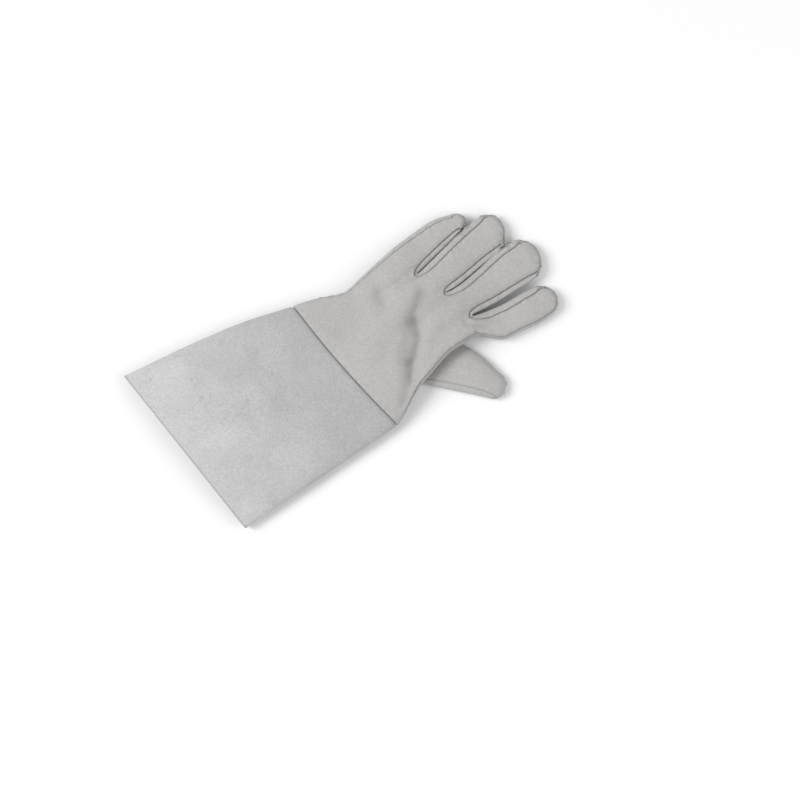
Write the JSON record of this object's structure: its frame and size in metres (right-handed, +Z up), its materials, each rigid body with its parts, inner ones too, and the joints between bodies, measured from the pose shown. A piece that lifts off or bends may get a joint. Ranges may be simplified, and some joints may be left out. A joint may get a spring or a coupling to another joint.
{
  "type": "leather gauntlet glove",
  "caption": "Left leather work glove with a long flared cuff, side strips between the fingers and a wing thumb, lying flat with its palm down.",
  "frame": {"origin": "middle of the glove's footprint, on the surface it lies on", "axes": "+X along the glove from the cuff to the finger tips, +Y towards the little finger, +Z up out of the back of the hand"},
  "size_m": [0.3756, 0.1768, 0.0302],
  "materials": {
    "cuff_split_leather": "matt split leather with a short nap, light grey",
    "hand_grain_leather": "soft matt grain leather, light warm grey"
  },
  "bodies": {
    "root": {"cuff_back": "cuff_split_leather", "cuff_palm": "cuff_split_leather", "hand_back": "hand_grain_leather", "hand_palm": "hand_grain_leather", "fourchette_pinky_ring": "hand_grain_leather", "fourchette_ring_middle": "hand_grain_leather", "fourchette_middle_index": "hand_grain_leather", "thumb": "hand_grain_leather"}
  },
  "joints": []
}
